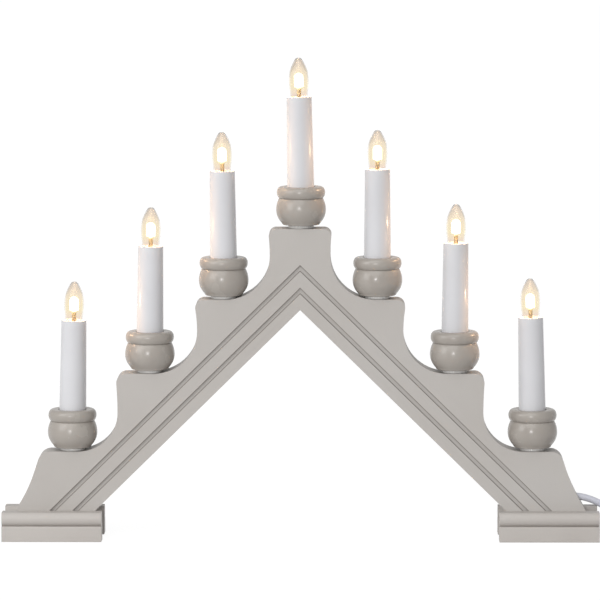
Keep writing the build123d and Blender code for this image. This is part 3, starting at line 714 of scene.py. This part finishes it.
relief_points = relief_grid(cord_line, relief_length, relief_radii)
relief = skin("cord_relief", relief_points, sharp=60, first_pole=relief_points[0].mean(axis=0),
              last_pole=relief_points[-1].mean(axis=0))
for piece, slot in ((plug, "plug"), (relief, "plug")):
    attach(piece, "arch")
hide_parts("plug_body")
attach(cord, "arch")
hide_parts("power_cord", "power_cord_coil")
print("plug faces", len(plug.data.polygons), "relief faces", len(relief.data.polygons))

# %% [markdown]
# Finishes
#
# One helper makes a finish: a Principled shader whose colour wanders between
# two close tones, whose roughness is uneven and whose surface has a fine bump,
# all from noise on Object coordinates. Real paint and plastic are never
# perfectly even, and that is most of what makes them look real.

# %% Helper: a finish


def linear(colour):
    """A colour from its 0 to 255 values, as the shader wants it."""
    share = np.asarray(colour, float) / 255
    return tuple(np.where(share <= 0.04045, share / 12.92, ((share + 0.055) / 1.055) ** 2.4)) + (1.0,)


def noise(tree, scale, detail):
    """A noise texture on Object coordinates, its size in waves per metre."""
    where = tree.nodes.new("ShaderNodeTexCoord")
    texture = tree.nodes.new("ShaderNodeTexNoise")
    texture.inputs["Scale"].default_value = scale
    texture.inputs["Detail"].default_value = detail
    tree.links.new(where.outputs["Object"], texture.inputs["Vector"])
    return texture.outputs["Fac"]


def ramp(tree, factor, stops):
    """Colours at places along a factor."""
    node = tree.nodes.new("ShaderNodeValToRGB")
    band = node.color_ramp
    while len(band.elements) < len(stops):
        band.elements.new(0.5)
    for element, (place, colour) in zip(band.elements, stops):
        element.position = place
        element.color = linear(colour)
    tree.links.new(factor, node.inputs["Fac"])
    return node.outputs["Color"]


def stretch_range(tree, factor, low, high, start=0.3, end=0.7):
    """A number that goes from low to high as the factor goes from start to end."""
    node = tree.nodes.new("ShaderNodeMapRange")
    node.inputs["From Min"].default_value = start
    node.inputs["From Max"].default_value = end
    node.inputs["To Min"].default_value = low
    node.inputs["To Max"].default_value = high
    tree.links.new(factor, node.inputs["Value"])
    return node.outputs["Result"]


def bump(tree, shader, height, depth):
    """A bump of a depth in metres, from a height between 0 and 1."""
    node = tree.nodes.new("ShaderNodeBump")
    node.inputs["Distance"].default_value = depth
    node.inputs["Strength"].default_value = 1.0
    tree.links.new(height, node.inputs["Height"])
    tree.links.new(node.outputs["Normal"], shader.inputs["Normal"])


def finish(name, dark, light, roughness, waves, grain, depth, **sockets):
    """A material whose colour lies between two tones and whose roughness between two values.
    The waves set the size of its clouds and the grain that of its bump, both per metre."""
    material = bpy.data.materials.new(name)
    material.use_nodes = True
    tree = material.node_tree
    shader = tree.nodes["Principled BSDF"]
    cloud = noise(tree, waves, 3.0)
    tree.links.new(ramp(tree, cloud, [(0.3, dark), (0.7, light)]), shader.inputs["Base Color"])
    tree.links.new(stretch_range(tree, cloud, *roughness), shader.inputs["Roughness"])
    bump(tree, shader, noise(tree, grain, 2.0), depth)
    for socket, value in sockets.items():
        shader.inputs[socket.replace("_", " ")].default_value = value
    return material


def dress(things, material):
    """Puts a material in the only slot of each object."""
    for thing in things:
        thing.data.materials.clear()
        thing.data.materials.append(material)


# %% [markdown]
# Paint
#
# The board and the rails have a satin grey paint, rolled on, with a faint
# texture. The cups have a darker and glossier coat of the same kind, which
# gives them their soft highlights.

# %% Paint
# Places and half widths of the painted shadow lines along the groove edges, in metres from the inner edge.
groove_shadow_lines = [(0.01135, 0.00042), (0.00845, 0.00034), (0.02295, 0.00042), (0.02005, 0.00034)]


def maths(tree, operation, first, second=None):
    """A math node between two inputs, each a socket or a number."""
    node = tree.nodes.new("ShaderNodeMath")
    node.operation = operation
    for slot_number, value in enumerate((first, second)):
        if value is None:
            continue
        if isinstance(value, (int, float)):
            node.inputs[slot_number].default_value = value
        else:
            tree.links.new(value, node.inputs[slot_number])
    return node.outputs["Value"]


def paint_groove_shadow(material, colour):
    """Paints shadow into the colour of the paint: thin darker lines along the edges of the
    grooves, where their walls cast shade. The distance from the inner edge is
    |x| sin(slope) + (z - apex) cos(slope), and each line is a narrow band of it."""
    tree = material.node_tree
    shader = tree.nodes["Principled BSDF"]
    where = tree.nodes.new("ShaderNodeTexCoord")
    split = tree.nodes.new("ShaderNodeSeparateXYZ")
    tree.links.new(where.outputs["Object"], split.inputs["Vector"])
    side = maths(tree, "MULTIPLY", maths(tree, "ABSOLUTE", split.outputs["X"]), math.sin(chevron_slope))
    lift = maths(tree, "SUBTRACT", split.outputs["Z"], inner_apex)
    distance = maths(tree, "ADD", side, maths(tree, "MULTIPLY", lift, math.cos(chevron_slope)))
    total = 0.0
    for place, half in groove_shadow_lines:
        off = maths(tree, "ABSOLUTE", maths(tree, "SUBTRACT", distance, place))
        total = maths(tree, "ADD", total, stretch_range(tree, off, 1.0, 0.0, half * 0.4, half))
    front = maths(tree, "LESS_THAN", split.outputs["Y"], 0.0)
    share = maths(tree, "MULTIPLY", maths(tree, "MINIMUM", total, 1.0), front)
    mix = tree.nodes.new("ShaderNodeMix")
    mix.data_type = "RGBA"
    base = shader.inputs["Base Color"]
    tree.links.new(base.links[0].from_socket, mix.inputs["A"])
    mix.inputs["B"].default_value = linear(colour)
    tree.links.new(share, mix.inputs["Factor"])
    tree.links.new(mix.outputs["Result"], base)


board_paint = finish(
    "board_paint", (178, 173, 168), (185, 181, 177), (0.46, 0.56),
    waves=9.0, grain=1100.0, depth=0.00003,
)
# Painted shadow: darker lines along the edges of the grooves on the board's front.
paint_groove_shadow(board_paint, (128, 122, 116))
rail_paint = finish(
    "rail_paint", (180, 174, 169), (187, 182, 177), (0.42, 0.52),
    waves=12.0, grain=1100.0, depth=0.00003,
)
cup_coat = finish(
    "cup_coat", (159, 152, 145), (167, 161, 154), (0.22, 0.29),
    waves=60.0, grain=700.0, depth=0.00002,
)
dress([board], board_paint)
dress(rails, rail_paint)
dress(cups, cup_coat)
print("paint on", 1 + len(rails) + len(cups), "pieces")

# %% [markdown]
# Plastics
#
# The sleeves are glossy white plastic, the washers a milky one, and the cord,
# the plug and the wires are soft vinyl with a slightly blue white.

# %% Plastics
sleeve_plastic = finish(
    "sleeve_plastic", (211, 211, 214), (216, 216, 219), (0.14, 0.20),
    waves=30.0, grain=300.0, depth=0.000004, Specular_IOR_Level=0.25,
)
washer_plastic = finish(
    "washer_plastic", (240, 238, 235), (250, 249, 247), (0.06, 0.12),
    waves=90.0, grain=600.0, depth=0.00001, Transmission_Weight=0.2, IOR=1.4,
)
cord_vinyl = finish(
    "cord_vinyl", (214, 215, 226), (224, 225, 234), (0.34, 0.44),
    waves=70.0, grain=1400.0, depth=0.00002,
)
plug_vinyl = finish(
    "plug_vinyl", (212, 213, 222), (222, 223, 230), (0.40, 0.50),
    waves=60.0, grain=1800.0, depth=0.00003,
)
wire_vinyl = finish(
    "wire_vinyl", (222, 221, 218), (232, 231, 228), (0.36, 0.46),
    waves=90.0, grain=1200.0, depth=0.00002,
)
holder_plastic = finish(
    "holder_plastic", (216, 208, 194), (226, 219, 206), (0.40, 0.52),
    waves=80.0, grain=900.0, depth=0.00002,
)
dress(sleeves, sleeve_plastic)
dress([washers], washer_plastic)
dress([cord], cord_vinyl)
dress([plug, relief], plug_vinyl)
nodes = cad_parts
dress([nodes["series_wires"]], wire_vinyl)
dress([nodes[f"lampholder_{n}"] for n in candle_numbers], holder_plastic)
dress([nodes["cord_grip"]], plug_vinyl)
print("plastics on", len(sleeves) + 13, "pieces")

# %% [markdown]
# Metals
#
# Screws, nuts, stems and staples are bright steel, the lamp caps and contacts
# are brass, and the plug's pins are nickelled. Metal shows almost only what it
# mirrors, so its roughness is what tells a turned pin from a rolled thread.

# %% Metals
zinc = finish(
    "zinc_steel", (168, 170, 172), (190, 192, 194), (0.24, 0.40),
    waves=220.0, grain=2600.0, depth=0.00001, Metallic=1.0,
)
cap_brass = finish(
    "cap_brass", (196, 158, 86), (218, 182, 110), (0.20, 0.34),
    waves=260.0, grain=2400.0, depth=0.00001, Metallic=1.0,
)
pin_nickel = finish(
    "pin_nickel", (196, 192, 184), (212, 208, 200), (0.16, 0.26),
    waves=200.0, grain=3000.0, depth=0.000006, Metallic=1.0,
)
zinc_names = ("stem_tubes", "stem_nuts", "rail_screws", "wire_staples", "cord_grip_nail")
dress([nodes[name] for name in zinc_names], zinc)
dress([nodes[f"bulb_cap_{n}"] for n in candle_numbers] + [nodes["holder_contacts"]], cap_brass)
dress([nodes["plug_pins"]], pin_nickel)
print("metals on", 5 + 8 + 1, "nodes")

# %% [markdown]
# Glass and light
#
# The envelope is thin clear glass. Its tint is painted light and shade that follows the
# height on its own UV map: a cream glow around the lit body, grey shade at the tip and
# beige near the cap. The lit body glows strongly enough to warm the rims and the cups
# beside it, and its stem is a dull gold.

# %% Glass and light


def along_piece(tree):
    """The share of the way along the piece, from its own UV map."""
    where = tree.nodes.new("ShaderNodeUVMap")
    where.uv_map = "turning"
    split = tree.nodes.new("ShaderNodeSeparateXYZ")
    tree.links.new(where.outputs["UV"], split.inputs["Vector"])
    return split.outputs["Y"]


def glass_finish():
    """Clear glass with a painted tint of glow and shade that changes from the neck to the tip, the same on
    both walls.
    """
    material = bpy.data.materials.new("flame_glass")
    material.use_nodes = True
    tree = material.node_tree
    shader = tree.nodes["Principled BSDF"]
    fold = tree.nodes.new("ShaderNodeMath")
    fold.operation = "PINGPONG"
    fold.inputs[1].default_value = 0.5
    tree.links.new(along_piece(tree), fold.inputs[0])
    # Painted glow and shade: cream around the lit body, grey at the tip, beige near the cap.
    painted_glow_tint = ramp(tree, fold.outputs["Value"], [
        (0.0, (238, 230, 222)), (0.12, (240, 232, 222)), (0.2, (248, 240, 226)),
        (0.3, (250, 243, 224)), (0.38, (246, 236, 228)), (0.44, (236, 233, 231)), (0.5, (232, 231, 230)),
    ])
    tree.links.new(painted_glow_tint, shader.inputs["Base Color"])
    tree.links.new(stretch_range(tree, noise(tree, 60.0, 0.0), 0.05, 0.08), shader.inputs["Roughness"])
    bump(tree, shader, noise(tree, 120.0, 0.0), 0.000004)
    shader.inputs["Transmission Weight"].default_value = 1.0
    shader.inputs["IOR"].default_value = 1.22
    return material


def lit_finish():
    """Glowing body above its stem, which keeps a faint painted glow: the colour and the glow change where
    the stem ends.
    """
    material = bpy.data.materials.new("lit_core")
    material.use_nodes = True
    tree = material.node_tree
    shader = tree.nodes["Principled BSDF"]
    along = along_piece(tree)
    tones = ramp(tree, along, [(0.2, (150, 141, 118)), (0.24, (255, 246, 222))])
    tree.links.new(tones, shader.inputs["Base Color"])
    # The stem keeps a faint painted glow of 0.03; the body above it glows as the lamp.
    tree.links.new(stretch_range(tree, along, 0.03, 3.2, 0.22, 0.27), shader.inputs["Emission Strength"])
    shader.inputs["Emission Color"].default_value = (1.0, 0.80, 0.52, 1.0)
    shader.inputs["Roughness"].default_value = 0.45
    return material


dress(glasses, glass_finish())
dress(lit_bodies, lit_finish())
print("lit bulbs", len(glasses))

# %% [markdown]
# Floor, sky and lamps
#
# The picture has a pure white background. The floor and the sky are white only
# for rays that come straight from the camera or by a mirror or through glass,
# so the object itself is lit plainly. A small lamp far away and hardly above
# the camera makes the highlights of the cups, and a broad one high in front
# gives the mouldings their shade. A weaker one stands nearer on the left, so
# that its light falls off to the right. Each bulb gets a small warm lamp of
# its own, which lights its neighbours.

# %% Floor and sky


def seen_directly(tree):
    """1 for a camera, glossy or transmission ray, and 0 for the rays that carry light."""
    path = tree.nodes.new("ShaderNodeLightPath")
    total = path.outputs["Is Camera Ray"]
    for output in ("Is Glossy Ray", "Is Transmission Ray"):
        add = tree.nodes.new("ShaderNodeMath")
        add.operation = "ADD"
        add.use_clamp = True
        tree.links.new(total, add.inputs[0])
        tree.links.new(path.outputs[output], add.inputs[1])
        total = add.outputs["Value"]
    return total


floor_half, floor_drop = 15.0, 0.0002
floor_mesh = bpy.data.meshes.new("studio_floor")
corner = floor_half * np.array([(-1, -1), (1, -1), (1, 1), (-1, 1)])
floor_mesh.from_pydata(np.column_stack([corner, np.full(4, -floor_drop)]), [], [(0, 1, 2, 3)])
floor = bpy.data.objects.new("studio_floor", floor_mesh)
bpy.context.scene.collection.objects.link(floor)
floor_material = bpy.data.materials.new("studio_floor")
floor_material.use_nodes = True
tree = floor_material.node_tree
shader = tree.nodes["Principled BSDF"]
shader.inputs["Base Color"].default_value = (0.8, 0.8, 0.8, 1.0)
shader.inputs["Roughness"].default_value = 1.0
shader.inputs["Specular IOR Level"].default_value = 0.0
glow = tree.nodes.new("ShaderNodeEmission")
glow.inputs["Strength"].default_value = 1.12
share = tree.nodes.new("ShaderNodeMath")
share.operation = "MULTIPLY"
share.inputs[1].default_value = 0.85
mix = tree.nodes.new("ShaderNodeMixShader")
tree.links.new(seen_directly(tree), share.inputs[0])
tree.links.new(share.outputs["Value"], mix.inputs["Fac"])
tree.links.new(shader.outputs["BSDF"], mix.inputs[1])
tree.links.new(glow.outputs["Emission"], mix.inputs[2])
tree.links.new(mix.outputs["Shader"], tree.nodes["Material Output"].inputs["Surface"])
floor_mesh.materials.append(floor_material)

world = bpy.data.worlds.new("studio_sky")
bpy.context.scene.world = world
world.use_nodes = True
tree = world.node_tree
sky = tree.nodes["Background"]
sky.inputs["Color"].default_value = (1.0, 1.0, 1.0, 1.0)
sky_light, sky_white = 0.30, 1.0
sky.inputs["Strength"].default_value = sky_light
white = tree.nodes.new("ShaderNodeBackground")
white.inputs["Strength"].default_value = sky_white
mix = tree.nodes.new("ShaderNodeMixShader")
tree.links.new(seen_directly(tree), mix.inputs["Fac"])
tree.links.new(sky.outputs["Background"], mix.inputs[1])
tree.links.new(white.outputs["Background"], mix.inputs[2])
tree.links.new(mix.outputs["Shader"], tree.nodes["World Output"].inputs["Surface"])
print("sky light", sky_light)

# %% Lamps


def far_lamp(name, azimuth, elevation, level, spread):
    """A soft lamp at a great distance. The azimuth is counted from the front towards the
    right, and a level of 1 lights a surface that faces it fully."""
    data = bpy.data.lights.new(name, "SUN")
    data.energy = level * math.pi
    data.angle = math.radians(spread)
    lamp = bpy.data.objects.new(name, data)
    a, e = math.radians(azimuth), math.radians(elevation)
    towards = Vector((math.sin(a) * math.cos(e), -math.cos(a) * math.cos(e), math.sin(e)))
    lamp.rotation_mode = "QUATERNION"
    lamp.rotation_quaternion = towards.to_track_quat("Z", "Y")
    bpy.context.scene.collection.objects.link(lamp)
    return lamp


def near_lamp(name, place, size, power):
    """A square soft box of a size in metres that faces the middle of the arch."""
    data = bpy.data.lights.new(name, "AREA")
    data.size = size
    data.energy = power
    lamp = bpy.data.objects.new(name, data)
    lamp.location = place
    lamp.rotation_mode = "QUATERNION"
    lamp.rotation_quaternion = (Vector(place) - Vector((0, 0, 0.15))).to_track_quat("Z", "Y")
    bpy.context.scene.collection.objects.link(lamp)
    return lamp


def bulb_lamp(number):
    """A small warm lamp in the middle of a lit body, which lights its surroundings. The camera
    and the glass don't see it, because the lit body glows by itself."""
    data = bpy.data.lights.new(f"bulb_lamp_{number}", "POINT")
    data.energy = bulb_power
    data.color = (1.0, 0.62, 0.36)
    data.shadow_soft_size = lit_radius / 1000
    lamp = bpy.data.objects.new(f"bulb_lamp_{number}", data)
    lamp.location = on_rim((lit_low + lit_high) / 2, number)
    lamp.visible_camera = False
    lamp.visible_transmission = False
    bpy.context.scene.collection.objects.link(lamp)
    return lamp


bulb_power = 0.05
far_lamp("front_flash", -8, 10, 0.19, 7)
far_lamp("high_soft_box", -12, 48, 0.34, 50)
near_lamp("left_soft_box", (-1.1, -0.8, 0.7), 0.8, 6.2)
for number in candle_numbers:
    bulb_lamp(number)
bpy.context.scene.view_settings.view_transform = "Standard"

# %% [markdown]
# The end
#
# The view layer is brought up to date. The dressed model has to stay in
# the box of the solids.

# %% The end


bpy.context.view_layer.update()
